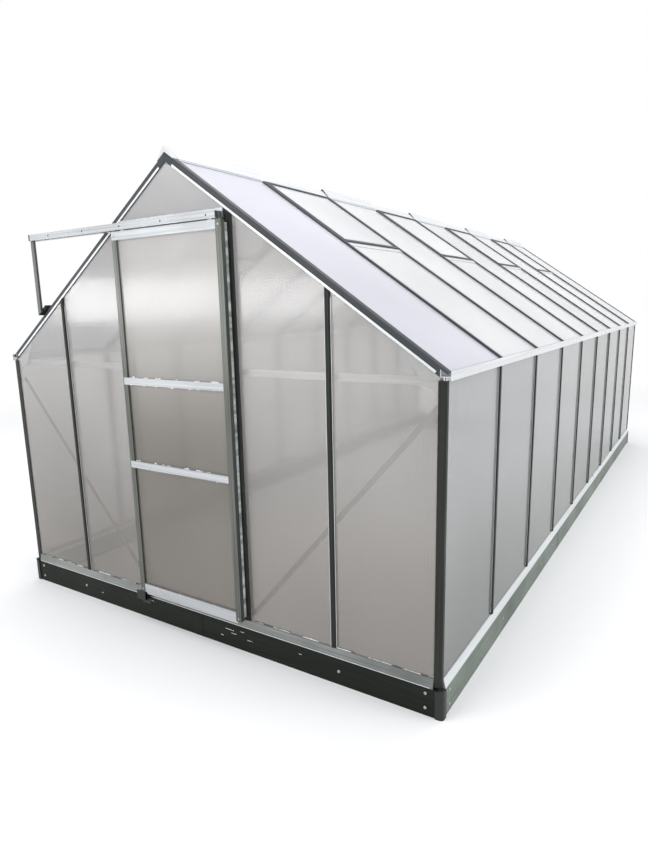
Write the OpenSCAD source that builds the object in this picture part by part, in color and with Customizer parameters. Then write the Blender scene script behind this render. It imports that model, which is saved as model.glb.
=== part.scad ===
// Walk-in greenhouse: aluminium glazing bars, twin-wall polycarbonate sheets, a steel skirt.
// Millimetres. X runs across the gables, Y along the ridge, Z up. The sliding door hangs
// in the gable that faces -Y. Heights are measured from the ground.

/* [Building] */
// Width between the outer faces of the two side wall sheets
width = 2540; // [2100:10:3060]
// Number of bays along a side wall, an odd number
bays = 9; // [5:2:11]
// Width of one bay, from bar centre to bar centre
bay_pitch = 610; // [500:5:740]
// Height of the line where side wall sheets and roof sheets meet
eave_height = 1334; // [1100:1:1610]
// Height of the line where the two roof slopes meet
ridge_height = 2212; // [2000:1:2700]
// Distance from a corner of the gable to the centre of its first stud
stud_from_corner = 475; // [380:5:600]

/* [Skirt] */
// Height of the steel skirt that stands on the ground
base_h = 120; // [80:1:160]
// How far the skirt stands out from the sheets
base_proud = 12; // [9:1:14]
// Thickness of the skirt's folded steel
base_t = 2; // [1:0.5:3]
// Half the width of the plastic block at each corner of the skirt
block_reach = 17; // [16:1:24]

/* [Bars and sheets] */
// Thickness of a sheet
sheet_t = 4; // [3:0.5:6]
// Width of a glazing bar
bar_w = 26; // [24:1:36]
// Width of a door post
post_w = 40; // [34:1:50]
// How far a bar's cover stands out from the sheets
bar_nose = 9; // [6:1:12]
// How deep a bar reaches behind the outer face of the sheets
bar_depth = 22; // [18:1:28]
// Height of the sills
sill_h = 40; // [30:1:50]
// How far a gutter reaches out from the side wall sheets
gutter_out = 20; // [16:1:30]
// Height of a gutter's outer face
gutter_h = 34; // [30:1:44]
// How far the ridge beam rises above the roof sheets
ridge_rise = 14; // [12:1:20]
// How far the ridge covers rise above the ridge beam
cover_rise = 14; // [8:1:20]
// Half the width of the ridge beam and its covers
ridge_reach = 46; // [40:1:60]
// Width of a gable brace
brace_w = 22; // [16:1:30]
// Height of the tie bars across the gables
tie_h = 30; // [25:1:45]

/* [Roof vents] */
// Distance from the ridge to a vent's lower edge, down the slope
vent_reach = 618; // [450:1:800]
// Width of a vent's side rails
vent_rail_w = 16; // [12:1:24]

/* [Door] */
// Distance between the centres of the two door posts
post_gap = 660; // [560:5:760]
// Width of the sliding door
door_w = 656; // [560:4:760]
// Sideways offset of the closed door from the middle of the doorway
door_offset = 6; // [-8:1:8]
// Depth of the door's frame
door_t = 22; // [16:1:24]
// Width of the door's stiles
stile_w = 30; // [24:1:40]
// Height of the door's top rail
top_rail_h = 37; // [30:1:50]
// Height of the door's two middle rails
mid_rail_h = 33; // [25:1:45]
// Height of the door's bottom rail
bottom_rail_h = 44; // [35:1:60]
// Height of the centre of the upper middle rail
upper_rail_z = 1238; // [1100:1:1350]
// Height of the centre of the lower middle rail
lower_rail_z = 833; // [650:1:950]
// How far the door slides
door_travel = 615; // [450:5:640]
// Clearance between the door and what it passes
door_gap = 5; // [5:1:8]
// Depth of the track that carries the door
track_t = 46; // [44:1:56]
// Height of the track
track_h = 30; // [29:1:40]
// Wall thickness of the track
track_wall = 2.5; // [2:0.5:3]

/* [Hidden] */

$fn = 48;
gap = 0.3;                          // clearance of a sheet's face in its groove
end_gap = 2;                        // clearance of a sheet's edge in its groove
inner = sheet_t + gap;              // depth of the groove's inner face
web_w = 6;                          // web between two sheets in one bar
slot_w = 12;                        // bolt slot in the back of a bar
slot_d = 10;
lip_t = 2;                          // thin edge of a bar's cover
arm = 28;                           // cover width of a corner bar, on gables and roof
side_arm = 16;                      // cover width of a corner post on a side wall
arm_out = 4;                        // how far a corner bar stands out
arm_in = 8;                         // how deep a corner bar reaches in
core = 8;                           // solid corner of a corner bar
half_w = width / 2;
half_l = bays * bay_pitch / 2;
slope = atan((ridge_height - eave_height) / half_w);
slope_len = half_w / cos(slope);    // roof sheet, ridge line to eave line
far = 4 * (width + bays * bay_pitch);

sill_top = base_h + sill_h;
sill_floor = 6;                     // bottom of the sill's groove above the skirt
sheet_bottom = base_h + sill_floor + gap;
boss_r = 14;                        // round boss on a corner block, under the post
boss_h = 6;
boss_at = block_reach - boss_r;

gutter_in = bar_depth;              // how far a gutter reaches in from the sheets
gutter_t = 2;
gutter_bottom = eave_height - 30;
gutter_top = gutter_bottom + gutter_h;
gutter_floor = gutter_bottom + 12;  // underside of the channel's floor
sheet_top = gutter_floor - gap;
bar_over_gutter = 8;                // how far roof bars reach past the eave line

tie_top = gutter_bottom + 8;
tie_t = 3;
tie_back = bar_depth;               // ties lie flat on the backs of the bars
brace_top = [half_w - 35, tie_top - tie_h - 75];
brace_foot = [post_gap / 2 + 15, sill_top + 20];
plate_t = 2.5;

post_x = post_gap / 2;
header_top = roof_z(post_x - post_w / 2) - drop(arm) - gap;
header_h = 35;
track_back = bar_nose;
track_bottom = header_top - 45;
track_top = track_bottom + track_h;
front_reach = track_back + track_t; // from the gable sheets to the foremost face
run_w = 25;                         // inner width of the track's chamber for the rollers
track_slot = 14;                    // slot in the chamber's floor
track_mid = front_reach - track_wall - run_w / 2;
door_back = track_mid - door_t / 2;
door_top = track_bottom - door_gap;
door_bottom = sill_top + 8;
door_left = door_offset - door_w / 2;
door_right = door_offset + door_w / 2;
rail_face_t = 1.5;                  // thin face of a middle rail
door_groove = 8;                    // depth of the sheet grooves in the door frame
wheel_r = 10;
wheel_t = 4;
wheel_z = track_bottom + track_wall + wheel_r + gap;
hanger_inset = 65;
hanger_w = 24;
fin_t = 3;
fin_h = 16;

strut_w = 24;
strut_t = 12;
strut_wall = 2.5;
strut_front = 30;                   // from the gable sheets to the strut's front face
strut_right = door_left - door_travel - door_gap;
strut_left = strut_right - strut_w;
end_cap_t = 10;                     // plug in the track's free end
track_left = strut_right + end_cap_t;
track_right = door_right - stile_w + 4;
seal_x = door_right - 4;

y_shift = (front_reach - block_reach) / 2;

ridge_flat = 6;                     // half the flat on top of the ridge
vent_top = ridge_reach / cos(slope) + 2;
vent_side = bay_pitch / 2 - bar_w / 2 - 0.5;
vent_low = -sheet_t;
vent_high = 9;
crossbar_top = vent_reach + 0.5;
crossbar_web = 8;
crossbar_h = 30;

function roof_z(x) = ridge_height - abs(x) * tan(slope);
function drop(d) = d / cos(slope);

// Places what is drawn about the middle of the sheets so that the whole is centred.
module placed() translate([0, y_shift, 0]) children();

// ---- sections, drawn with the outward side at +Y and the sheets' outer face at 0 ----

module bar_section(w) {
    back = -bar_depth;
    polygon([[-w / 2, gap], [-web_w / 2, gap], [-web_w / 2, -inner], [-w / 2, -inner],
             [-w / 2, back], [-slot_w / 2, back], [-slot_w / 2, back + slot_d],
             [slot_w / 2, back + slot_d], [slot_w / 2, back], [w / 2, back],
             [w / 2, -inner], [web_w / 2, -inner], [web_w / 2, gap], [w / 2, gap],
             [w / 2, lip_t], [w / 2 - web_w, bar_nose], [web_w - w / 2, bar_nose],
             [-w / 2, lip_t]]);
}

// A corner bar: its +Y face carries the gable's cover, its +X face a cover of width side.
module corner_section(side) {
    polygon([[-arm, arm_out], [0, arm_out], [arm_out, 0], [arm_out, -side], [gap, -side],
             [gap, -core], [-inner, -core], [-inner, -side], [-arm_in, -side],
             [-arm_in, -arm_in], [-arm, -arm_in], [-arm, -inner], [-core, -inner],
             [-core, gap], [-arm, gap]]);
}

module sill_section() {
    lip_in = inner + 3;
    lip_h = 10;
    polygon([[base_proud + 1, 0], [base_proud + 1, 5], [4, sill_h], [gap, sill_h],
             [gap, sill_floor], [-inner, sill_floor], [-inner, sill_floor + lip_h],
             [-lip_in, sill_floor + lip_h], [-lip_in, sill_floor], [-bar_depth, sill_floor],
             [-bar_depth, 0]]);
}

module base_section() {
    top_flange = block_reach - gap;
    foot_flange = 15;
    back = base_proud - base_t;
    polygon([[base_proud, 0], [base_proud, base_h], [-top_flange, base_h],
             [-top_flange, base_h - base_t], [back, base_h - base_t], [back, base_t],
             [-foot_flange, base_t], [-foot_flange, 0]]);
}

module gutter_section() {
    wall_top = eave_height + (gutter_in - gutter_t) * tan(slope) - drop(inner) - gap;
    groove_top = gutter_floor;
    floor_top = gutter_floor + gutter_t;
    wall_out = inner + 3;
    polygon([[gutter_out, gutter_bottom], [gutter_out, gutter_top],
             [gutter_out - gutter_t, gutter_top], [gutter_out - gutter_t, floor_top],
             [gutter_t - gutter_in, floor_top], [gutter_t - gutter_in, wall_top],
             [-gutter_in, wall_top], [-gutter_in, groove_top], [-wall_out, groove_top],
             [-wall_out, gutter_bottom], [-inner, gutter_bottom], [-inner, groove_top],
             [gap, groove_top], [gap, gutter_bottom], [3, gutter_bottom], [3, groove_top],
             [gutter_out - gutter_t, groove_top], [gutter_out - gutter_t, gutter_bottom]]);
}

// The points of one half of a section, and the same points mirrored, as one outline.
function mirrored(half) =
    concat(half, [for (i = [len(half) - 1:-1:0]) [-half[i][0], half[i][1]]]);

module ridge_section() {
    web = 4;
    inner_reach = 30;
    flange = 3.2;
    polygon(mirrored([
        [ridge_flat, ridge_height + ridge_rise],
        [ridge_reach, roof_z(ridge_reach) + drop(4)],
        [ridge_reach, roof_z(ridge_reach) + drop(gap)],
        [web, roof_z(web) + drop(gap)], [web, roof_z(web) - drop(inner)],
        [inner_reach, roof_z(inner_reach) - drop(inner)],
        [inner_reach, roof_z(inner_reach) - drop(inner + flange)],
        [web, roof_z(web) - drop(inner + flange)], [web, ridge_height - 45]]));
}

// A folded cover that sits over the ridge beam.
module cover_section() {
    edge_z = roof_z(ridge_reach);
    top = ridge_height + ridge_rise + cover_rise;
    t = 2;
    skirt = 6;
    foot = ridge_reach + gap + t;
    polygon(mirrored([[ridge_flat, top], [foot, edge_z + drop(skirt + t)],
        [foot, edge_z + drop(gap)], [foot - t, edge_z + drop(gap)],
        [foot - t, edge_z + drop(skirt)], [ridge_flat - t / 2, top - t]]));
}

// ---- ways of standing a section up ----

// A section stood along Z at x, y, with its outward side turned to face.
module upright(face, z0, z1) {
    translate([0, 0, z0]) rotate([0, 0, face]) linear_extrude(z1 - z0) children();
}

// A section drawn in X and Z, run along Y from y0 to y1.
module along_y(y0, y1) {
    translate([0, y1, 0]) rotate([90, 0, 0]) linear_extrude(y1 - y0) children();
}

// A section run along X from x0 to x1 at the front gable. Its first axis is the depth, from
// the sheets' outer face inward, and its second is the height.
module along_front(x0, x1) {
    translate([x0, -half_l, 0]) rotate([90, 0, 90]) linear_extrude(x1 - x0) children();
}

// Lays children on the +X slope: X runs down the slope from the ridge, Z is outward.
module on_slope() translate([0, 0, ridge_height]) rotate([0, slope, 0]) children();

module both_sides() {
    children();
    mirror([1, 0, 0]) children();
}

// Draws children for the front gable and mirrors them to the rear.
module both_gables() {
    children();
    mirror([0, 1, 0]) children();
}

// Draws in the gable's own plane: X across, Z up, depth from the outer sheet face inward.
module gable_plate(depth, thick) {
    translate([0, depth - half_l, 0]) mirror([0, 1, 0]) rotate([90, 0, 0])
        linear_extrude(thick) children();
}

// Keeps only what lies under the roof by a distance measured square to the slope.
module under_roof(below) {
    edge = half_w + 60;
    intersection() {
        children();
        along_y(-far, far)
            polygon([[-edge, 0], [edge, 0], [edge, roof_z(edge) - drop(below)],
                     [0, ridge_height - drop(below)], [-edge, roof_z(edge) - drop(below)]]);
    }
}

// ---- skirt and sills ----

module skirt_rail(reach) {
    color("darkslategray") along_y(-reach, reach) base_section();
}

module base_long() translate([half_w, 0, 0]) skirt_rail(half_l - block_reach);

module base_short() {
    rotate([0, 0, -90]) translate([half_l, 0, 0]) skirt_rail(half_w - block_reach);
}

module base_front() base_short();
module base_rear() mirror([0, 1, 0]) base_short();
module base_right() base_long();
module base_left() mirror([1, 0, 0]) base_long();

// A moulded block with two ears that lie behind the skirt rails.
module corner_block() {
    side_r = 16;
    ear_len = 50;
    ear_t = 4;
    ear_h = base_h - 30;
    r = block_reach;
    back = base_proud - base_t;
    linear_extrude(base_h) union() {
        translate([-r, -r]) square([2 * r - side_r, 2 * r]);
        translate([-r, -r]) square([2 * r, 2 * r - side_r]);
        translate([r - side_r, r - side_r]) circle(side_r);
    }
    translate([boss_at, boss_at, base_h - 1]) cylinder(h = boss_h + 1, r = boss_r);
    translate([back - ear_t, -r - ear_len, 15]) cube([ear_t, ear_len + 1, ear_h]);
    translate([-r - ear_len, back - ear_t, 15]) cube([ear_len + 1, ear_t, ear_h]);
}

module base_corners() {
    color("black") both_gables() both_sides()
        translate([half_w, -half_l, 0]) mirror([0, 1, 0]) corner_block();
}

module sill_run(reach) {
    color("silver") along_y(-reach, reach) translate([0, base_h]) sill_section();
}

module sill_long() translate([half_w, 0, 0]) sill_run(half_l - side_arm - gap);

module sill_short() {
    rotate([0, 0, -90]) translate([half_l, 0, 0]) sill_run(half_w - arm - gap);
}

module sill_front() sill_short();
module sill_rear() mirror([0, 1, 0]) sill_short();
module sill_right() sill_long();
module sill_left() mirror([1, 0, 0]) sill_long();

// ---- wall frame ----

module corner_posts() {
    color("gray") both_gables() both_sides()
        translate([half_w, -half_l, 0]) mirror([0, 1, 0])
            upright(0, base_h + boss_h, gutter_bottom) corner_section(side_arm);
}

module gable_stud(x, w) {
    under_roof(arm + gap)
        translate([x, -half_l, 0]) upright(180, sill_top, ridge_height) bar_section(w);
}

module front_studs() {
    color("gray") both_sides() gable_stud(half_w - stud_from_corner, bar_w);
}

module door_posts() color("gray") both_sides() gable_stud(post_x, post_w);

module rear_studs() {
    color("gray") mirror([0, 1, 0]) both_sides() {
        gable_stud(half_w - stud_from_corner, bar_w);
        gable_stud(post_x, bar_w);
    }
}

module right_studs() {
    color("gray") for (i = [1:bays - 1])
        translate([half_w, i * bay_pitch - half_l, 0])
            upright(-90, sill_top, gutter_bottom) bar_section(bar_w);
}

module left_studs() mirror([1, 0, 0]) right_studs();

module right_gutter() {
    color("whitesmoke") translate([half_w, 0, 0])
        along_y(-half_l - arm_out, half_l + arm_out) gutter_section();
}

module left_gutter() mirror([1, 0, 0]) right_gutter();

module gable_tie_bars() {
    inner_end = post_x - post_w / 2 + 2;
    outer_end = half_w - bar_depth - 2;
    color("silver") {
        both_sides() gable_plate(tie_back, tie_t)
            translate([inner_end, tie_top - tie_h]) square([outer_end - inner_end, tie_h]);
        mirror([0, 1, 0]) gable_plate(tie_back, tie_t)
            translate([-outer_end, tie_top - tie_h]) square([2 * outer_end, tie_h]);
    }
}

// A flat strip from under the eave to the foot of the door post.
module brace_outline() {
    run = brace_top - brace_foot;
    translate(brace_foot) rotate(atan2(run[1], run[0]))
        translate([0, -brace_w / 2]) square([norm(run), brace_w]);
}

module gable_braces() {
    color("silver") both_gables() both_sides()
        gable_plate(tie_back, tie_t) brace_outline();
}

// A gusset behind the sheets at each eave corner, hollowed in two arcs.
module plate_outline() {
    edge = half_w - arm_in - gap;
    reach = 150;
    leg = 125;
    bite_r = 62;
    top = arm_in + 1;
    difference() {
        polygon([[edge, gutter_bottom - leg], [edge, gutter_bottom],
                 [half_w - gutter_in - gap, gutter_bottom],
                 [half_w - gutter_in - gap, roof_z(half_w - gutter_in) - drop(top)],
                 [edge - reach, roof_z(edge - reach) - drop(top)],
                 [edge - reach, roof_z(edge - reach) - drop(top) - 30],
                 [edge - 22, gutter_bottom - leg]]);
        translate([edge - 22 - bite_r, tie_top - tie_h - bite_r]) circle(bite_r);
    }
}

module corner_plates() {
    color("silver") both_gables() both_sides()
        gable_plate(arm_in, plate_t) plate_outline();
}

// ---- roof frame ----

// Takes away the lower inner part of a roof bar so that it clears the gutter's inner wall.
module clear_of_gutter() {
    difference() {
        children();
        intersection() {
            translate([half_w - gutter_in - gap, -far / 2, 0]) cube([far, far, far]);
            on_slope() translate([0, -far / 2, -far - inner]) cube([far, far, far]);
        }
    }
}

module roof_bar(from) {
    clear_of_gutter() on_slope() translate([from, 0, 0]) rotate([90, 0, 90])
        linear_extrude(slope_len + bar_over_gutter - from) bar_section(bar_w);
}

module right_roof_bars() {
    from = (ridge_reach + gap) / cos(slope) + bar_nose * tan(slope);
    color("gray") for (i = [1:bays - 1])
        translate([0, i * bay_pitch - half_l, 0]) roof_bar(from);
}

module left_roof_bars() mirror([1, 0, 0]) right_roof_bars();

// A corner bar laid down one edge of the roof and mitred at the ridge.
module rafter() {
    intersection() {
        clear_of_gutter() on_slope() translate([-arm, 0, 0]) rotate([90, 0, 90])
            linear_extrude(slope_len + bar_over_gutter + arm)
                mirror([1, 0]) corner_section(arm);
        translate([gap, -far / 2, 0]) cube([far, far, far]);
    }
}

module gable_rafters() {
    color("gray") both_gables() both_sides() translate([0, -half_l, 0]) rafter();
}

module ridge_beam() {
    reach = half_l - arm - gap;
    color("whitesmoke") along_y(-reach, reach) ridge_section();
}

// Covers stand over every bay that has no vent.
module ridge_covers() {
    clear = bar_w / 2 + 2;
    end_clear = arm + 2 * gap;
    color("whitesmoke") for (i = [0:2:bays - 1]) {
        y0 = i * bay_pitch - half_l + (i == 0 ? end_clear : clear);
        y1 = (i + 1) * bay_pitch - half_l - (i == bays - 1 ? end_clear : clear);
        along_y(y0, y1) cover_section();
    }
}

// A moulded cap that carries the ridge's outline over the mitred rafters.
module ridge_end_caps() {
    lift = arm_out + gap;
    foot = ridge_reach;
    outline = mirrored([[ridge_flat, ridge_height + ridge_rise + cover_rise],
                        [foot, roof_z(foot) + drop(lift + 3)],
                        [foot, roof_z(foot) + drop(lift)], [0, ridge_height + drop(lift)]]);
    color("white") both_gables()
        along_y(-half_l - arm_out - 1, -half_l + arm) polygon(outline);
}

// Vents sit in every second bay, and never in an end bay.
module vent_bays() {
    for (i = [1:2:bays - 2])
        translate([0, (i + 0.5) * bay_pitch - half_l, 0]) children();
}

module vent_rail(length) {
    groove = 6;
    h = vent_high - vent_low;
    difference() {
        translate([0, 0, vent_low]) cube([length, vent_rail_w, h]);
        translate([-1, vent_rail_w - groove, 0]) cube([length + 2, groove + 1, inner + gap]);
    }
}

module vent_frame() {
    length = vent_reach - vent_top;
    cross = 2 * (vent_side - vent_rail_w - gap);
    for (k = [0, 1]) mirror([0, k, 0])
        translate([vent_top, -vent_side, 0]) vent_rail(length);
    translate([vent_top, cross / 2, 0]) rotate([0, 0, -90]) vent_rail(cross);
    translate([vent_reach, -cross / 2, 0]) rotate([0, 0, 90]) vent_rail(cross);
}

module vent_frames() color("gray") both_sides() vent_bays() on_slope() vent_frame();

module vent_sheets() {
    inset = vent_rail_w - 5;
    color("gainsboro", 0.7) both_sides() vent_bays() on_slope()
        translate([vent_top + inset, inset - vent_side, gap])
            cube([vent_reach - vent_top - 2 * inset, 2 * (vent_side - inset), sheet_t]);
}

module vent_crossbars() {
    reach = bay_pitch / 2 - bar_w / 2 - gap;
    a = crossbar_top;
    b = crossbar_top + crossbar_web;
    c = crossbar_top + crossbar_h;
    color("silver") both_sides() vent_bays() on_slope() along_y(-reach, reach)
        polygon([[a, -bar_depth], [b + 6, -bar_depth], [b + 6, -arm_in], [c, -arm_in],
                 [c, -inner], [b, -inner], [b, gap], [c, gap], [c, 3], [a, 3]]);
}

// ---- sheets ----

sheet_side = bay_pitch / 2 - web_w / 2 - end_gap;

// The outline of a gable sheet between x0 and x1, standing on z0.
function gable_top(x) = roof_z(x) - drop(core + 1);
function gable_outline(x0, x1, z0) = concat(
    [[x0, z0], [x1, z0], [x1, gable_top(x1)]],
    x0 < 0 && x1 > 0 ? [[0, gable_top(0)]] : [],
    [[x0, gable_top(x0)]]);

module gable_sheet(x0, x1, z0) {
    gable_plate(0, sheet_t) difference() {
        polygon(gable_outline(x0, x1, z0));
        for (k = [-1, 1]) translate([k * (half_w - gutter_in - gap + 100), gutter_bottom + 99])
            square([200, 200 - 2 * gap], center = true);
    }
}

module gable_side_sheets() {
    stud_x = half_w - stud_from_corner;
    clear = web_w / 2 + end_gap;
    both_sides() {
        gable_sheet(stud_x + clear, half_w - core - 1, sheet_bottom);
        gable_sheet(post_x + clear, stud_x - clear, sheet_bottom);
    }
}

module front_sheets() {
    color("gainsboro", 0.7) {
        gable_side_sheets();
        gable_sheet(-post_x, post_x, header_top - 8 + gap);
    }
}

module rear_sheets() {
    reach = post_x - web_w / 2 - end_gap;
    color("gainsboro", 0.7) mirror([0, 1, 0]) {
        gable_side_sheets();
        gable_sheet(-reach, reach, sheet_bottom);
    }
}

// End bays are shorter, because a corner bar's core is wider than a web.
function bay_start(i) = i == 0 ? core + 1 : i * bay_pitch + web_w / 2 + end_gap;
function bay_end(i) = i == bays - 1 ? bays * bay_pitch - core - 1
                                    : (i + 1) * bay_pitch - web_w / 2 - end_gap;

module right_wall_sheets() {
    color("gainsboro", 0.7) for (i = [0:bays - 1])
        translate([half_w - sheet_t, bay_start(i) - half_l, sheet_bottom])
            cube([sheet_t, bay_end(i) - bay_start(i), sheet_top - sheet_bottom]);
}

module left_wall_sheets() mirror([1, 0, 0]) right_wall_sheets();

// Sheets in a vent's bay start below its crossbar.
module right_roof_sheets() {
    full_top = 10;
    short_top = crossbar_top + crossbar_web + 1;
    color("gainsboro", 0.7) on_slope() for (i = [0:bays - 1]) {
        top = i % 2 == 1 ? short_top : full_top;
        translate([top, bay_start(i) - half_l, -sheet_t])
            cube([slope_len - top, bay_end(i) - bay_start(i), sheet_t]);
    }
}

module left_roof_sheets() mirror([1, 0, 0]) right_roof_sheets();

// ---- doorway and track ----

module door_header() {
    reach = post_x - post_w / 2 - gap;
    z0 = header_top - header_h;
    color("silver") along_front(-reach, reach)
        polygon([[-bar_nose, z0], [-bar_nose, header_top], [-gap, header_top],
                 [-gap, header_top - 8], [inner, header_top - 8], [inner, header_top],
                 [bar_depth, header_top], [bar_depth, z0]]);
}

// A box of two chambers. The front one has a slot in its floor for the door's rollers.
module door_track() {
    hollow_h = track_h - 2 * track_wall;
    rear_w = track_t - run_w - 3 * track_wall;
    z1 = track_bottom + track_wall;
    color("whitesmoke") along_front(track_left, track_right) difference() {
        translate([-front_reach, track_bottom]) square([track_t, track_h]);
        translate([track_wall - front_reach, z1]) square([run_w, hollow_h]);
        translate([-track_back - track_wall - rear_w, z1]) square([rear_w, hollow_h]);
        translate([-track_mid - track_slot / 2, track_bottom - 1])
            square([track_slot, track_wall + 2]);
    }
}

// A channel, open to the rear, that rises from the rafter and holds the track's free end.
module track_strut() {
    edge = half_w + 100;
    lift = drop(arm_out + gap);
    color("gray") difference() {
        translate([strut_left, -half_l - strut_front, 0]) difference() {
            cube([strut_w, strut_t, track_top]);
            translate([strut_wall, strut_wall, -1])
                cube([strut_w - 2 * strut_wall, strut_t, track_top + 2]);
        }
        along_y(-far, far) polygon([[-edge, -1], [0, -1], [0, ridge_height + lift],
                                    [-edge, roof_z(edge) + lift]]);
    }
}

// The cap on the track's free end, and the block between the rafter and the strut's foot.
module track_fittings() {
    block_w = strut_w + 22;
    block_h = 16;
    back = arm - 8;
    front = strut_front - strut_t - gap;
    color("black") {
        translate([strut_right, -half_l - front_reach, track_bottom])
            cube([end_cap_t, track_t, track_h]);
        translate([0, -half_l, 0]) mirror([1, 0, 0]) intersection() {
            on_slope() translate([0, -front, arm_out + gap]) cube([far, front + back, block_h]);
            translate([-strut_left - block_w, -far / 2, 0]) cube([block_w, far, far]);
        }
    }
}

// A forked block on the skirt that keeps the door's lower edge on its line.
module door_guide() {
    long = 60;
    mid = -track_mid;
    fork = fin_t / 2 + door_gap;
    wall = 3;
    top = door_bottom - door_gap;
    floor_z = base_h - 4;
    out = mid - fork - wall;
    color("dimgray") along_front(-post_x - long / 2, -post_x + long / 2)
        polygon([[-base_proud, base_h - 40], [-base_proud, base_h], [-base_proud - 2, base_h],
                 [-base_proud - 2, top - 12], [mid + fork + 0.5, top - 12],
                 [mid + fork + 0.5, floor_z + wall], [mid - fork, floor_z + wall],
                 [mid - fork, top], [out, top], [out, floor_z],
                 [-base_proud - wall, floor_z], [-base_proud - wall, base_h - 40]]);
}

// An angled strip on the closing post, beside the door's edge.
module door_seal() {
    strip_t = 2;
    foot_w = 13;
    fin_out = door_back - door_gap - bar_nose;
    z0 = door_bottom + 10;
    z1 = track_bottom - 15;
    color("lightgray") translate([seal_x, -half_l - bar_nose, z0]) {
        translate([-foot_w, -strip_t, 0]) cube([foot_w, strip_t, z1 - z0]);
        translate([-strip_t, -fin_out, 0]) cube([strip_t, fin_out, z1 - z0]);
    }
}

// ---- sliding door ----

door_slot = sheet_t + 2 * gap;

// The stile on the closing side runs up past the top rail; the other stops under it.
module door_stiles() {
    tops = [door_top - top_rail_h, door_top];
    color("gray") for (k = [0, 1])
        translate([k == 0 ? door_left : door_right, -half_l - door_back - door_t, 0])
            mirror([k, 0, 0]) upright(0, door_bottom, tops[k]) difference() {
                square([stile_w, door_t]);
                translate([stile_w - door_groove, (door_t - door_slot) / 2])
                    square([door_groove + 1, door_slot]);
            }
}

// A rail between x0 and x1 with a groove in its lower edge, its upper edge, or both.
module door_rail(x0, x1, z0, h, groove_low, groove_high) {
    v0 = -door_back - door_t;
    groove_v = v0 + (door_t - door_slot) / 2;
    along_front(x0, x1) difference() {
        translate([v0, z0]) square([door_t, h]);
        if (groove_low) translate([groove_v, z0 - 1]) square([door_slot, door_groove + 1]);
        if (groove_high)
            translate([groove_v, z0 + h - door_groove]) square([door_slot, door_groove + 1]);
    }
}

module door_top_rail() {
    color("whitesmoke") door_rail(door_left, door_right - stile_w, door_top - top_rail_h,
                                  top_rail_h, true, false);
}

// Each middle rail has a thin face that runs on over the stile it meets first.
module door_middle_rails() {
    x1 = door_right - stile_w;
    color("whitesmoke") for (z = [upper_rail_z, lower_rail_z]) {
        door_rail(door_left + stile_w, x1, z - mid_rail_h / 2, mid_rail_h, true, true);
        along_front(door_left + 6, x1)
            translate([-door_back - door_t - rail_face_t, z - mid_rail_h / 2])
                square([rail_face_t, mid_rail_h]);
    }
}

module door_bottom_rail() {
    color("silver") {
        door_rail(door_left + stile_w, door_right - stile_w, door_bottom, bottom_rail_h,
                  false, true);
        along_front(door_left + stile_w, door_right - stile_w)
            translate([-track_mid - fin_t / 2, door_bottom - fin_h]) square([fin_t, fin_h + 1]);
    }
}

module door_sheets() {
    grip = door_groove - 0.5;
    x0 = door_left + stile_w - grip;
    x1 = door_right - stile_w + grip;
    upper_half = mid_rail_h / 2 - grip;
    spans = [[door_bottom + bottom_rail_h - grip, lower_rail_z - upper_half],
             [lower_rail_z + upper_half, upper_rail_z - upper_half],
             [upper_rail_z + upper_half, door_top - top_rail_h + grip]];
    color("gainsboro", 0.7) for (s = spans)
        translate([x0, -half_l - track_mid - sheet_t / 2, s[0]])
            cube([x1 - x0, sheet_t, s[1] - s[0]]);
}

// A plate through the track's slot, with a wheel on each side of it.
module hanger() {
    plate = 4;
    axle_r = 3;
    lip_mid = (run_w + track_slot) / 4;
    wheel_at = lip_mid - wheel_t / 2;
    translate([-hanger_w / 2, -plate / 2, door_top])
        cube([hanger_w, plate, wheel_z + axle_r + 4 - door_top]);
    translate([0, lip_mid, wheel_z]) rotate([90, 0, 0]) cylinder(h = 2 * lip_mid, r = axle_r);
    for (k = [0, 1]) mirror([0, k, 0])
        translate([0, wheel_at + wheel_t, wheel_z]) rotate([90, 0, 0])
            cylinder(h = wheel_t, r = wheel_r);
}

module door_hangers() {
    color("dimgray") for (x = [door_left + hanger_inset, door_right - hanger_inset])
        translate([x, -half_l - track_mid, 0]) hanger();
}

placed() base_front();
placed() base_rear();
placed() base_left();
placed() base_right();
placed() base_corners();
placed() sill_front();
placed() sill_rear();
placed() sill_left();
placed() sill_right();
placed() corner_posts();
placed() front_studs();
placed() door_posts();
placed() rear_studs();
placed() left_studs();
placed() right_studs();
placed() left_gutter();
placed() right_gutter();
placed() ridge_beam();
placed() ridge_covers();
placed() ridge_end_caps();
placed() gable_rafters();
placed() left_roof_bars();
placed() right_roof_bars();
placed() gable_tie_bars();
placed() corner_plates();
placed() gable_braces();
placed() door_header();
placed() door_track();
placed() track_strut();
placed() track_fittings();
placed() door_guide();
placed() door_seal();
placed() front_sheets();
placed() rear_sheets();
placed() left_wall_sheets();
placed() right_wall_sheets();
placed() left_roof_sheets();
placed() right_roof_sheets();
placed() vent_crossbars();
placed() vent_frames();
placed() vent_sheets();
placed() door_stiles();
placed() door_top_rail();
placed() door_middle_rails();
placed() door_bottom_rail();
placed() door_sheets();
placed() door_hangers();
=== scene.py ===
# %% [markdown]
# # A polycarbonate greenhouse
# The greenhouse stands on a folded steel skirt. Aluminium bars hold twin-wall plastic
# sheets, and a door slides along the front gable. The bars, sheets and skirt come from
# the exact model and only need finishes. The small parts, such as screws, joint sleeves
# and scraps of protective film, are modelled here and fixed to the body they belong to.

# %% Load the exact model
import math
import random

import bmesh
import bpy
from mathutils import Matrix, Vector


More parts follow.
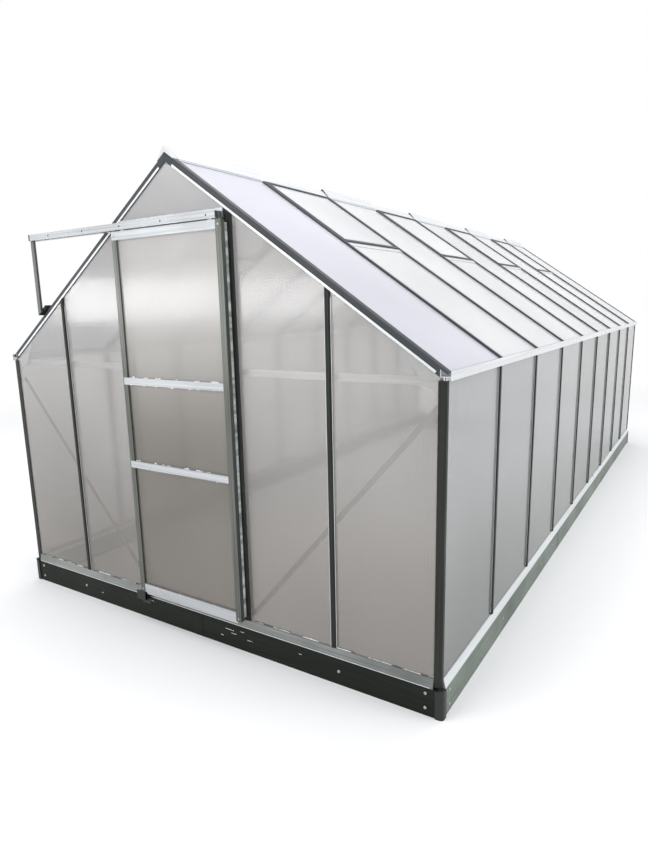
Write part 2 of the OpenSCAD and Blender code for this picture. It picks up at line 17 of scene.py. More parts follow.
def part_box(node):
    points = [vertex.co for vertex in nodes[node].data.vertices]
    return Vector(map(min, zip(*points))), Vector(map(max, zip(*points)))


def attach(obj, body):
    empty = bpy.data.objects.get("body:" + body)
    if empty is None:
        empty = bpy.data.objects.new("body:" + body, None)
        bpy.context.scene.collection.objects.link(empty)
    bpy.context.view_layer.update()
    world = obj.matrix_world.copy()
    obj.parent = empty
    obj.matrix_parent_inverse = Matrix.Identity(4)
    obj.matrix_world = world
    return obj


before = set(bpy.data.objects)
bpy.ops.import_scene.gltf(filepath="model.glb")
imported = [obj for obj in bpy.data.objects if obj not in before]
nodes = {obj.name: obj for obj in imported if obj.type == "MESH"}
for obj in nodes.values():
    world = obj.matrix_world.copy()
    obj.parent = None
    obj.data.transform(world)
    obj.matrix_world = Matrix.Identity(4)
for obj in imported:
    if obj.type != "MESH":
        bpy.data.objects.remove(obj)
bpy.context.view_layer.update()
scene = bpy.context.scene
print(len(nodes), "pieces from the exact model")

# %% [markdown]
# ## Where things are
# Every place below is read from a box round an exact piece, so a screw sits on its rail
# even when the rail moves. Lengths are metres, X runs across the door gable, Y along the
# ridge and Z up.

# %% Main planes of the building
FRONT_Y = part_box("front_sheets")[0][1]
REAR_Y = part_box("rear_sheets")[1][1]
SIDE_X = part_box("right_wall_sheets")[1][0]
BASE_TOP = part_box("base_front")[1][2]
SILL_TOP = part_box("sill_front")[1][2]
RIDGE_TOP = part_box("right_roof_sheets")[1][2]
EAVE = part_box("right_wall_sheets")[1][2]
BAYS = 9
BAY = (REAR_Y - FRONT_Y) / BAYS
STUD_YS = [FRONT_Y + BAY * i for i in range(1, BAYS)]
print("bay", round(BAY, 4), "m, front plane at", round(FRONT_Y, 4))

# %% [markdown]
# ## Camera
# A 26 mm lens stands at eye height off the front right corner and looks a little down.

# %% Camera
camera_data = bpy.data.cameras.new("eye_level")
camera_data.lens = 25.67
camera_data.sensor_width = 36
camera = bpy.data.objects.new("eye_level", camera_data)
scene.collection.objects.link(camera)
look = Vector((-0.5275, 0.8259, -0.1991)).normalized()
right = Vector((0.8449, 0.5345, -0.0213))
right = (right - look * right.dot(look)).normalized()
up = right.cross(look)
turn = Matrix((right, up, -look)).transposed().to_4x4()
camera.matrix_world = Matrix.Translation((2.0447, FRONT_Y - 2.0002, 1.5618)) @ turn
scene.camera = camera
print("camera at", tuple(round(v, 3) for v in camera.location))

# %% [markdown]
# ## Colours and nodes
# Colours are written as hex values, which are how a paint chart gives them. Blender works
# in linear light, so one function turns them. One more function adds a shader node, sets
# its values and joins it to the nodes before it.

# %% Two helpers for materials
def linear(hex_colour):
    parts = [int(hex_colour[i:i + 2], 16) / 255 for i in (1, 3, 5)]
    flat = [c / 12.92 if c <= 0.04045 else ((c + 0.055) / 1.055) ** 2.4 for c in parts]
    return (*flat, 1)


def add(tree, kind, links=None, **settings):
    node = tree.nodes.new("ShaderNode" + kind)
    for key, value in settings.items():
        socket = node.inputs.get(key.replace("_", " "))
        if socket is not None:
            socket.default_value = value
        else:
            setattr(node, key, value)
    for key, source in (links or {}).items():
        tree.links.new(source, node.inputs[key])
    return node


def new_material(name):
    material = bpy.data.materials.new(name)
    material.use_nodes = True
    material.node_tree.nodes.clear()
    return material, material.node_tree


def dress(material, *names):
    for name in names:
        piece = nodes[name] if name in nodes else bpy.data.objects[name]
        piece.data.materials.clear()
        piece.data.materials.append(material)


view = scene.view_settings
view.view_transform = "Standard"

# %% [markdown]
# ## Studio
# A soft even sky lights the building, with one broad lamp from the front left so that the
# folded edges show. The floor is pale and fades to white away from the building, so it
# keeps the contact shadow and the far background is plain.

# %% World light
world = bpy.data.worlds.new("even_sky")
scene.world = world
world.use_nodes = True
tree = world.node_tree
tree.nodes.clear()
path = add(tree, "LightPath")
seen = add(tree, "Math", {0: path.outputs["Is Camera Ray"],
                          1: path.outputs["Is Glossy Ray"]}, operation="ADD")
seen = add(tree, "Math", {0: seen.outputs[0],
                          1: path.outputs["Is Transmission Ray"]},
           operation="ADD", use_clamp=True)
soft = add(tree, "Background", Color=linear("#f4f6fa"), Strength=0.72)
white = add(tree, "Background", Color=(1, 1, 1, 1), Strength=1)
both = add(tree, "MixShader", {0: seen.outputs[0], 1: soft.outputs[0],
                               2: white.outputs[0]})
add(tree, "OutputWorld", {"Surface": both.outputs[0]})
print("world ready")


# %% Lamps
def lamp(name, place, target, size, power):
    data = bpy.data.lights.new(name, "AREA")
    data.shape = "RECTANGLE"
    data.size, data.size_y = size
    data.energy = power
    item = bpy.data.objects.new(name, data)
    scene.collection.objects.link(item)
    aim = (Vector(target) - Vector(place)).to_track_quat("-Z", "Y")
    item.matrix_world = Matrix.Translation(place) @ aim.to_matrix().to_4x4()
    return item


lamp("broad_front", (-3.0, -8.5, 5.5), (0, -1.5, 1), (6, 4), 230)
lamp("broad_side", (8.5, -1.0, 6.0), (1, 0.5, 1), (6, 5), 300)
lamp("broad_top", (0.0, 0.0, 9.0), (0, 0.3, 0), (7, 9), 420)
# A long low strip gives the gable sheets one soft level streak, as a skylight would.
lamp("long_strip", (-5.6, -9.0, 1.75), (0, -2.7, 1.6), (5, 0.7), 108)
print("four soft lamps")

# %% Floor
bpy.ops.object.select_all(action="DESELECT")
bpy.ops.mesh.primitive_plane_add(size=90, location=(0, 0, 0))
floor = bpy.context.object
floor.name = "pale_floor"
material, tree = new_material("matt_pale_floor")
where = add(tree, "TexCoord")
away = add(tree, "VectorMath", {0: where.outputs["Object"]}, operation="LENGTH")
fade = add(tree, "MapRange", {"Value": away.outputs["Value"]}, From_Min=4.5, From_Max=9.0,
           interpolation_type="SMOOTHSTEP")
matt = add(tree, "BsdfPrincipled", Base_Color=linear("#f8f8f8"), Roughness=0.9)
clear_white = add(tree, "Emission", Color=(1, 1, 1, 1), Strength=1)
mix = add(tree, "MixShader", {0: fade.outputs["Result"], 1: matt.outputs[0],
                              2: clear_white.outputs[0]})
add(tree, "OutputMaterial", {"Surface": mix.outputs[0]})
floor.data.materials.append(material)
print("floor", tuple(floor.dimensions))

# %% [markdown]
# ## Metals and plastics
# Every opaque finish here is one surface with fine drawn lines or grain in it. The grain
# is a noise pattern stretched along the way the piece was drawn or rolled. It moves the
# colour between two close tints, the gloss between two values, and the height by a few
# hundredths of a millimetre.


# %% A grained finish
def grained(name, light, dark, stretch, metallic, gloss, height=0.00005, patches=2.0,
            patch_dark=None, **shader):
    """stretch is how often the grain repeats per metre along X, Y and Z."""
    material, tree = new_material(name)
    where = add(tree, "TexCoord")
    grain_map = add(tree, "Mapping", {"Vector": where.outputs["Object"]}, Scale=stretch)
    grain = add(tree, "TexNoise", {"Vector": grain_map.outputs[0]}, Scale=1.0, Detail=3.0)
    patch = add(tree, "TexNoise", {"Vector": where.outputs["Object"]}, Scale=patches,
                Detail=4.0, Roughness=0.6)
    sharp = add(tree, "MapRange", {"Value": grain.outputs["Fac"]}, From_Min=0.35,
                From_Max=0.65)
    tint = add(tree, "MixRGB", {"Fac": sharp.outputs["Result"]}, Color1=linear(dark),
               Color2=linear(light))
    if patch_dark:
        worn = add(tree, "MapRange", {"Value": patch.outputs["Fac"]}, From_Min=0.45,
                   From_Max=0.7)
        tint = add(tree, "MixRGB", {"Fac": worn.outputs["Result"],
                                    "Color1": tint.outputs[0]},
                   Color2=linear(patch_dark))
    rough = add(tree, "MapRange", {"Value": patch.outputs["Fac"]}, From_Min=0.3,
                From_Max=0.7, To_Min=gloss[0], To_Max=gloss[1])
    bump = add(tree, "Bump", {"Height": grain.outputs["Fac"]}, Strength=0.5,
               Distance=height)
    body = add(tree, "BsdfPrincipled", {"Base Color": tint.outputs[0],
                                        "Roughness": rough.outputs["Result"],
                                        "Normal": bump.outputs[0]},
               Metallic=metallic, **shader)
    add(tree, "OutputMaterial", {"Surface": body.outputs[0]})
    return material


# %% Skirt and sills
# Galvanised steel: a cold grey-green zinc skin with cloudy patches. It is one steel all
# round, painted dark as shade on the front and rear rails and a lighter grey as lit on
# the end rails.
skirt_painted_shade = grained("galvanised_steel_painted_shade", "#20241f", "#151813", (3, 3, 160), 0.0,
                      (0.4, 0.6), patches=3.0, patch_dark="#1b1f1a",
                      Specular_IOR_Level=0.12)
skirt_painted_light = grained("galvanised_steel_painted_light", "#7a847b", "#656f66", (3, 2, 120), 0.3,
                     (0.35, 0.55), patches=1.5, patch_dark="#596259")
dress(skirt_painted_shade, "base_front", "base_rear")
dress(skirt_painted_light, "base_left", "base_right")
# Mill-finish aluminium with drawn lines along the length and a soft shine. It is one metal
# all round, painted pale as lit on the end sills and grey as shade on the front and rear
# sills.
sill_painted_light = grained("drawn_aluminium_sill_painted_light", "#e4e7e8", "#ccd0d2", (40, 1.5, 260), 0.35,
                    (0.22, 0.4), patches=1.2)
sill_painted_shade = grained("drawn_aluminium_sill_painted_shade", "#8b8f8d", "#6f7371", (1.5, 40, 240), 0.6,
                    (0.28, 0.45), patches=2.0, patch_dark="#646866")
dress(sill_painted_light, "sill_left", "sill_right")
dress(sill_painted_shade, "sill_front", "sill_rear")
print("skirt and sills finished")

# %% Bars, rails, gutter and ridge
# The glazing bars are aluminium with long drawing lines. Their dark colour is a painted
# reflection of dark surroundings.
upright_bar = grained("aluminium_upright_painted_dark_reflection", "#2c2f2a", "#1b1d19", (220, 220, 2), 0.15,
                      (0.4, 0.6), patches=2.5, patch_dark="#22251f",
                      Specular_IOR_Level=0.25)
roof_bar = grained("aluminium_roof_painted_dark_reflection", "#44484b", "#2a2e31", (3, 200, 3), 0.15,
                   (0.35, 0.55), patches=2.5, patch_dark="#383c3f",
                   Specular_IOR_Level=0.3)
rail_x = grained("drawn_aluminium_rail", "#c3c6c8", "#a9adb0", (1.5, 60, 260), 0.55,
                 (0.2, 0.36), patches=1.5)
rail_y = grained("drawn_aluminium_gutter", "#e3e5e7", "#cbced1", (60, 1.5, 260), 0.35,
                 (0.25, 0.4), patches=1.0)
tie_metal = grained("drawn_aluminium_tie", "#ccd0d4", "#b2b6ba", (2, 60, 200), 0.6,
                    (0.3, 0.45), patches=1.5)
stile_metal = grained("drawn_aluminium_stile", "#6a6d68", "#4b4e48", (220, 220, 2), 0.6,
                      (0.28, 0.42), patches=2.0)
dress(upright_bar, "corner_posts", "front_studs", "door_posts", "rear_studs",
      "left_studs", "right_studs")
dress(roof_bar, "gable_rafters", "left_roof_bars", "right_roof_bars", "vent_frames")
dress(rail_y, "left_gutter", "right_gutter", "ridge_beam", "ridge_covers",
      "vent_crossbars")
dress(rail_x, "door_header", "door_track", "door_top_rail", "door_middle_rails",
      "door_bottom_rail")
dress(tie_metal, "gable_tie_bars", "corner_plates")
dress(stile_metal, "gable_braces")
dress(stile_metal, "door_stiles", "track_strut")
print("bars and rails finished")

# %% Moulded parts
# Black nylon blocks have a fine spark-eroded grain from their mould.
black_nylon = grained("moulded_black_nylon", "#151617", "#0c0d0e", (900, 900, 900), 0.0,
                      (0.4, 0.55), patches=9.0)
grey_nylon = grained("moulded_grey_nylon", "#d5d7d8", "#c3c6c8", (700, 700, 700), 0.0,
                     (0.35, 0.5), patches=6.0)
zinc = grained("zinc_plated_steel", "#c3c6c7", "#9fa3a4", (500, 500, 500), 0.9,
               (0.28, 0.4), patches=30.0)
film = grained("torn_protective_film", "#ffffff", "#eceef0", (60, 60, 25), 0.0,
               (0.3, 0.5), height=0.0004)
seal_vinyl = grained("clear_vinyl_strip", "#e6eaec", "#8d9291", (5, 5, 38), 0.0,
                     (0.2, 0.35), height=0.0003)
dress(black_nylon, "base_corners", "track_fittings", "door_guide")
dress(grey_nylon, "ridge_end_caps")
dress(zinc, "door_hangers")
dress(seal_vinyl, "door_seal")
print("moulded parts finished")

# %% [markdown]
# ## Twin-wall sheets
# The sheets are clear polycarbonate, extruded as two skins joined by ribs every 6 mm. Light
# passes but is spread sideways, so a brace close behind shows as a soft band and the far
# side is only a haze. A rough transmitting surface does this, with the ribs as a bump.
# They are drawn 12 mm apart so that they still show from a few metres.


# %% Sheet material
RIB_PITCH = 0.012
WAVE_TURN = math.pi / 10  # a wave texture at scale 1 repeats after this many metres


def twin_wall(name, low, high, reach, across, see_through, cloud=0.8, gloss=(0.07, 0.15),
              first_bay=None, rear_painted_shade=0.97):
    """reach is the height where the darker foot tint ends and the height of the lighter top.
    The darker foot is partly dust, and the lighter top is a painted reflection of the bright
    sky.
    across is the axis that crosses the ribs."""
    material, tree = new_material(name)
    where = add(tree, "TexCoord")
    place = add(tree, "SeparateXYZ", {"Vector": where.outputs["Object"]})
    ribs = add(tree, "TexWave", {"Vector": where.outputs["Object"]}, wave_type="BANDS",
               bands_direction=across, Scale=WAVE_TURN / RIB_PITCH, Distortion=0.0)
    haze = add(tree, "TexNoise", {"Vector": where.outputs["Object"]}, Scale=cloud,
               Detail=2.0, Roughness=0.4)
    rise = add(tree, "MapRange", {"Value": place.outputs["Z"]}, From_Min=reach[0],
               From_Max=reach[1], interpolation_type="SMOOTHSTEP")
    tint = add(tree, "MixRGB", {"Fac": rise.outputs["Result"]}, Color1=linear(low),
               Color2=linear(high))
    if first_bay:
        early = add(tree, "Math", {0: place.outputs["Y"]}, operation="LESS_THAN")
        early.inputs[1].default_value = FRONT_Y + BAY
        tint = add(tree, "MixRGB", {"Fac": early.outputs[0], "Color1": tint.outputs[0]},
                   Color2=linear(first_bay))
    # Cloudy lighter and darker patches from this noise are a painted reflection of clouds and
    # trees.
    painted_cloud_reflection = add(tree, "MapRange", {"Value": haze.outputs["Fac"]}, From_Min=0.25,
                From_Max=0.75, To_Min=0.78, To_Max=1.0, interpolation_type="SMOOTHSTEP")
    line = add(tree, "MapRange", {"Value": ribs.outputs["Fac"]}, From_Min=0.0,
               From_Max=0.5, To_Min=0.95, To_Max=1.0, interpolation_type="SMOOTHSTEP")
    both = add(tree, "Math", {0: painted_cloud_reflection.outputs["Result"], 1: line.outputs["Result"]},
               operation="MULTIPLY")
    if across == "Y":
        # Each bay's sheet has a random tone of its own. Toward the rear the sheets are also
        # painted darker, a painted reflection of dark surroundings.
        bay = add(tree, "MapRange", {"Value": place.outputs["Y"]}, From_Min=FRONT_Y,
                  From_Max=REAR_Y, To_Min=0.0, To_Max=float(BAYS), clamp=False)
        whole = add(tree, "Math", {0: bay.outputs["Result"]}, operation="FLOOR")
        bay_tone_and_rear_shade = add(tree, "TexWhiteNoise", {"W": whole.outputs[0]},
                    noise_dimensions="1D")
        bay_tone_and_rear_shade = add(tree, "MapRange", {"Value": bay_tone_and_rear_shade.outputs["Value"]}, To_Min=0.94,
                    To_Max=1.0)
        rear_shade_ramp = add(tree, "MapRange", {"Value": whole.outputs[0]}, From_Min=1.0,
                  From_Max=float(BAYS), To_Min=1.0, To_Max=rear_painted_shade)
        bay_tone_and_rear_shade = add(tree, "Math", {0: bay_tone_and_rear_shade.outputs["Result"],
                                   1: rear_shade_ramp.outputs["Result"]}, operation="MULTIPLY")
        both = add(tree, "Math", {0: both.outputs[0], 1: bay_tone_and_rear_shade.outputs[0]},
                   operation="MULTIPLY")
    tint = add(tree, "MixRGB", {"Color1": tint.outputs[0], "Color2": both.outputs[0]},
               blend_type="MULTIPLY", Fac=1.0)
    rough = add(tree, "MapRange", {"Value": haze.outputs["Fac"]}, From_Min=0.2,
                From_Max=0.8, To_Min=gloss[0], To_Max=gloss[1])
    bump = add(tree, "Bump", {"Height": ribs.outputs["Fac"]}, Strength=0.12,
               Distance=0.0004)
    body = add(tree, "BsdfPrincipled", {"Base Color": tint.outputs[0],
                                        "Roughness": rough.outputs["Result"],
                                        "Normal": bump.outputs[0]},
               IOR=1.33, Transmission_Weight=see_through)
    add(tree, "OutputMaterial", {"Surface": body.outputs[0]})
    return material


# %% Dress the sheets
# One clear polycarbonate is tinted for each face, lighter or darker as painted light and
# shade: the roof and gable lightest, the walls and door greyer. The door's brown foot is
# partly dirt.
dress(twin_wall("polycarbonate_gable", "#d8d3ce", "#fffdfb", (0.25, 1.5), "X", 0.76),
      "front_sheets", "rear_sheets")
dress(twin_wall("polycarbonate_door", "#aca69e", "#f4f2ef", (0.85, 1.7), "X", 0.6),
      "door_sheets")
dress(twin_wall("polycarbonate_wall", "#b8bab7", "#dddfe0", (0.15, 1.4), "Y", 0.65,
                cloud=0.7, rear_painted_shade=0.85), "left_wall_sheets", "right_wall_sheets")
dress(twin_wall("polycarbonate_roof", "#f4f5f7", "#f8f9fa", (1.3, 2.2), "Y", 0.35,
                first_bay="#ececf6"), "left_roof_sheets", "right_roof_sheets")
dress(twin_wall("polycarbonate_vent", "#f2f3f6", "#f6f7f9", (1.7, 2.2), "Y", 0.3,
                cloud=1.3), "vent_sheets")
print("sheets finished")

# %% [markdown]
# ## Making small parts
# A screw head starts as a cylinder. Its top is inset, pushed in for the driver, and its rim
# is bevelled. It is modelled once, standing on the origin, and copied to each place with
# its top turned outward. The copies are joined, and their places are applied to the mesh.


# %% Helpers for modelling
def start_clean():
    if bpy.context.mode != "OBJECT":
        bpy.ops.object.mode_set(mode="OBJECT")
    bpy.ops.object.select_all(action="DESELECT")


def pick(item, test, kind="faces"):
    """Selects, in edit mode, the faces or vertices that pass a test."""
    mesh = bmesh.from_edit_mesh(item.data)
    for part in [*mesh.verts, *mesh.edges, *mesh.faces]:
        part.select = False
    mesh.select_mode = {"VERT"} if kind == "verts" else {"FACE"}
    for part in getattr(mesh, kind):
        if test(part):
            part.select = True
    mesh.select_flush_mode()
    bmesh.update_edit_mesh(item.data)


def screw_head(radius, height, sides=12):
    start_clean()
    bpy.ops.mesh.primitive_cylinder_add(vertices=sides, radius=radius, depth=height,
                                        location=(0, 0, height / 2))
    head = bpy.context.object
    bpy.ops.object.transform_apply(location=True)
    bpy.ops.object.mode_set(mode="EDIT")
    pick(head, lambda f: f.normal.z > 0.9)
    bpy.ops.mesh.bevel(offset=height * 0.45, segments=2, affect="EDGES")
    pick(head, lambda f: f.normal.z > 0.9 and f.calc_center_median().z > height * 0.95)
    bpy.ops.mesh.inset(thickness=radius * 0.22, depth=0)
    bpy.ops.mesh.inset(thickness=radius * 0.1, depth=-height * 0.45)
    bpy.ops.object.mode_set(mode="OBJECT")
    return head


def set_around(master, name, places):
    """Copies master to each (point, outward direction) and joins the copies."""
    start_clean()
    for point, outward in places:
        item = master.copy()
        item.data = master.data.copy()
        scene.collection.objects.link(item)
        aim = Vector(outward).to_track_quat("Z", "Y").to_matrix().to_4x4()
        item.matrix_world = Matrix.Translation(point) @ aim
        item.select_set(True)
        bpy.context.view_layer.objects.active = item
    bpy.ops.object.join()
    bpy.ops.object.transform_apply(location=True, rotation=True, scale=True)
    joined = bpy.context.object
    joined.name = name
    bpy.data.objects.remove(master)
    return joined


def fit(piece, body, material):
    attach(piece, body)
    dress(material, piece.name)
    print(piece.name, len(piece.data.polygons), "faces")
    return piece


def bevelled_boxes(name, boxes, bevel):
    """Adds a box for each (centre, size, turn about Y) to a mesh and bevels its edges."""
    start_clean()
    for i, (centre, size, *turn) in enumerate(boxes):
        bpy.ops.mesh.primitive_cube_add(size=1, location=centre, scale=size,
                                        rotation=(0, turn[0] if turn else 0, 0))
        if i == 0:
            item = bpy.context.object
            bpy.ops.object.transform_apply(location=True, rotation=True, scale=True)
            bpy.ops.object.mode_set(mode="EDIT")
    bpy.ops.mesh.select_all(action="SELECT")
    bpy.ops.mesh.bevel(offset=bevel, segments=1, affect="EDGES")
    bpy.ops.object.mode_set(mode="OBJECT")
    item.name = name
    return item


print("helpers ready")

# %% [markdown]
# ## Screws on the skirt
# Two zinc-plated screws hold each skirt rail to each corner block, and a few more hold the
# lap joints. They are pan heads 13 mm across.

# %% Skirt screws
SCREW_R = 0.0065
SCREW_H = 0.0035
places = []
base_front_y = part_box("base_front")[0][1]
base_rear_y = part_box("base_rear")[1][1]
base_side_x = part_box("base_right")[1][0]
for z in (0.034, 0.096):
    for x in (-1.212, 1.212):
        places.append(((x, base_front_y, z), (0, -1, 0)))
        places.append(((x, base_rear_y, z), (0, 1, 0)))
    for y in (FRONT_Y + 0.058, REAR_Y - 0.058):
        places.append(((base_side_x, y, z), (1, 0, 0)))
        places.append(((-base_side_x, y, z), (-1, 0, 0)))
for x in (-0.823, 0.823):
    places.append(((x, base_front_y, 0.062), (0, -1, 0)))
    places.append(((x, base_rear_y, 0.062), (0, 1, 0)))
for y in (0.765, 1.514, 1.83, 3.036, 3.797, 4.62):
    places.append(((base_side_x, FRONT_Y + y, 0.066), (1, 0, 0)))
    places.append(((-base_side_x, FRONT_Y + y, 0.066), (-1, 0, 0)))
fit(set_around(screw_head(SCREW_R, SCREW_H), "skirt_screws", places), "building",
    zinc)

# %% [markdown]
# ## Lap joints of the skirt
# A long skirt rail is two lengths that lap over a thin joint plate. The plate is a box with
# its edges rounded and its face raised in a shallow pressed rib.


# %% Joint plates
def joint_plate(name, centre, size, axis, body="building"):
    start_clean()
    bpy.ops.mesh.primitive_cube_add(size=1, location=centre, scale=size)
    plate = bpy.context.object
    bpy.ops.object.transform_apply(location=True, scale=True)
    bpy.ops.object.mode_set(mode="EDIT")
    out = Vector(axis)
    pick(plate, lambda f: f.normal.dot(out) > 0.9)
    bpy.ops.mesh.inset(thickness=0.006, depth=0)
    bpy.ops.mesh.inset(thickness=0.003, depth=0.0008)
    bpy.ops.mesh.select_all(action="SELECT")
    bpy.ops.mesh.bevel(offset=0.0004, segments=1, affect="EDGES")
    bpy.ops.object.mode_set(mode="OBJECT")
    plate.name = name
    return plate


PLATE_T = 0.0012
# The plates take the skirt's finishes: painted shade at the front and rear, painted light at
# the ends.
for side, y, out in (("front", base_front_y, -1), ("rear", base_rear_y, 1)):
    fit(joint_plate(f"skirt_joint_{side}", (0.028, y + out * PLATE_T / 2, 0.062),
                    (0.055, PLATE_T, 0.11), (0, out, 0)),
        "building", skirt_painted_shade)
for side, out in (("right", 1), ("left", -1)):
    fit(joint_plate(f"skirt_joint_{side}",
                    (out * (base_side_x + PLATE_T / 2), FRONT_Y + 2.0, 0.062),
                    (PLATE_T, 0.08, 0.11), (out, 0, 0)),
        "building", skirt_painted_light)

# %% [markdown]
# ## Lips of the glazing bars
# Each dark bar has a thin bright lip down both sides, where the sheet's edge strip is
# tucked under it. One long thin bevelled strip is laid at each lip.

# %% Lips on the side walls
LIP_W = 0.0022
LIP_T = 0.0016
bar_half = 0.013
stud_low, stud_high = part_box("right_studs")
lip_x = SIDE_X + 0.0022
lip_and_glint_strips = []
for y in STUD_YS:
    for edge in (-1, 1):
        for side in (-1, 1):
            centre = (side * lip_x, y + edge * (bar_half + LIP_W / 2),
                      (stud_low[2] + stud_high[2]) / 2 )
            lip_and_glint_strips.append((centre, (LIP_T, LIP_W, stud_high[2] - stud_low[2] - 0.02)))
fit(bevelled_boxes("wall_bar_lips", lip_and_glint_strips, 0.0003), "building", rail_y)

# %% Lips on the gables
lip_and_glint_strips = []
for node_name, plane, out in (("front_studs", FRONT_Y, -1), ("rear_studs", REAR_Y, 1)):
    low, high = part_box(node_name)
    x_out = high[0] - bar_half
    top = RIDGE_TOP - (x_out + bar_half) * (RIDGE_TOP - EAVE) / SIDE_X - 0.045
    for x in (-x_out, x_out):
        for edge in (-1, 1):
            lip_and_glint_strips.append(((x + edge * (bar_half + LIP_W / 2), plane + out * 0.0022,
                          (SILL_TOP + top) / 2), (LIP_W, LIP_T, top - SILL_TOP)))
fit(bevelled_boxes("gable_bar_lips", lip_and_glint_strips, 0.0003), "building", rail_y)

# %% [markdown]
# ## Trim of the gable rafters
# The rafter's lower edge is a bright drawn lip, which shows as a thin white line under the
# dark bar. It is a long thin bevelled bar laid down each slope.

# %% Rafter trim
ROOF_RISE = 0.878  # from the eave line to the ridge line
SLOPE = math.atan2(ROOF_RISE, SIDE_X)
RIDGE_Z = 2.212
COVER = 0.0225     # from the roof's outer face in to the middle of the lip
slope_len = math.hypot(ROOF_RISE, SIDE_X)
trims = []
for y in (FRONT_Y - 0.0047, REAR_Y + 0.0047):
    for side in (-1, 1):
        along = slope_len * 0.51
        x = side * (along * math.cos(SLOPE) - COVER * math.sin(SLOPE))
        z = RIDGE_Z - along * math.sin(SLOPE) - COVER * math.cos(SLOPE)
        trims.append(((x, y, z), (slope_len * 0.94, 0.0014, 0.0095), side * SLOPE))
fit(bevelled_boxes("rafter_trim", trims, 0.0004), "building", rail_y)

# %% Painted glint: a bright strip along the lower edge of the front and rear sills
sill_low, sill_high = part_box("sill_front")
lip_and_glint_strips = [((0, y, BASE_TOP + 0.0026), (2 * SIDE_X - 0.08, 0.0008, 0.0026))
        for y in (sill_low[1] - 0.0004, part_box("sill_rear")[1][1] + 0.0004)]
fit(bevelled_boxes("sill_painted_glint", lip_and_glint_strips, 0.0003), "building", rail_y)

# %% [markdown]
# ## Gutter joints
# Each gutter is made of lengths that meet in a pressed sleeve. The sleeve wraps the outer
# face and has a raised bead at each end.

# %% Gutter sleeves
gutter_low, gutter_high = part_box("right_gutter")
sleeves = []
SLEEVE_T = 0.0012
for y in (1.859, 3.69):
    for out in (-1, 1):
        middle = (gutter_low[2] + gutter_high[2]) / 2
        high = gutter_high[2] - gutter_low[2]
        x = out * (gutter_high[0] - SLEEVE_T / 2 - 0.0001)
        for y_off in (-0.016, 0.016):
            sleeves.append(((x - out * 0.0002, FRONT_Y + y + y_off, middle - 0.001),
                            (SLEEVE_T, 0.005, high - 0.004)))
        sleeves.append(((x - out * 0.0006, FRONT_Y + y, middle - 0.001),
                        (SLEEVE_T, 0.03, high - 0.006)))
fit(bevelled_boxes("gutter_sleeves", sleeves, 0.0003), "building",
    rail_y)

# %% [markdown]
# ## Track and door screws
# Dark discs in the track's finish stand for the fixings that pin the track to the header,
# and small zinc pan heads hold the door's rails to its stiles. The door's own screws ride
# on the door.

# %% Fixings on the face of the track
# The track's face is the foremost face of the whole model, so a raised head there would
# stand out of the model's box. The fixings are drawn in its finish instead: dark discs
# 8 mm across, at even steps.
track_low, track_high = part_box("door_track")
RIVET_STEP = 0.26
track_metal = grained("drawn_aluminium_track", "#bfc2c4", "#a5a9ac", (1.5, 60, 260), 0.5,
                      (0.2, 0.36), patches=1.5)
tree = track_metal.node_tree
body = next(n for n in tree.nodes if n.type == "BSDF_PRINCIPLED")
metal_tint = body.inputs["Base Color"].links[0].from_socket
where = add(tree, "TexCoord")
place = add(tree, "SeparateXYZ", {"Vector": where.outputs["Object"]})
step = add(tree, "Math", {0: place.outputs["X"]}, operation="PINGPONG")
step.inputs[1].default_value = RIVET_STEP / 2
level = add(tree, "Math", {0: place.outputs["Z"]}, operation="SUBTRACT")
level.inputs[1].default_value = float(track_low[2] + track_high[2]) / 2
pair = add(tree, "CombineXYZ", {"X": step.outputs[0], "Y": level.outputs[0]})
away = add(tree, "VectorMath", {0: pair.outputs[0]}, operation="LENGTH")
disc = add(tree, "Math", {0: away.outputs["Value"]}, operation="LESS_THAN")
disc.inputs[1].default_value = 0.004
spot = add(tree, "MixRGB", {"Fac": disc.outputs[0], "Color1": metal_tint},
           Color2=linear("#2b2d2c"))
tree.links.new(spot.outputs[0], body.inputs["Base Color"])
dress(track_metal, "door_track")

# %% Door screws
door_low, door_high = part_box("door_stiles")
door_front = door_low[1]
top_low, top_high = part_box("door_top_rail")
foot_low, foot_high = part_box("door_bottom_rail")
places = []
for x in (door_low[0] + 0.015, door_high[0] - 0.015):
    for z in ((top_low[2] + top_high[2]) / 2, (foot_low[2] + foot_high[2]) / 2):
        places.append(((x, door_front, z), (0, -1, 0)))
fit(set_around(screw_head(0.0042, 0.0022), "door_screws", places), "door",
    zinc)

# %% [markdown]
# ## Torn protective film
# The aluminium comes wrapped in white film. It was cut off with a knife after glazing, and
# ragged white scraps stay along the rails. Each scrap is a fine grid stood upright, with
# the free edge's points moved at random, then given the thickness of film.


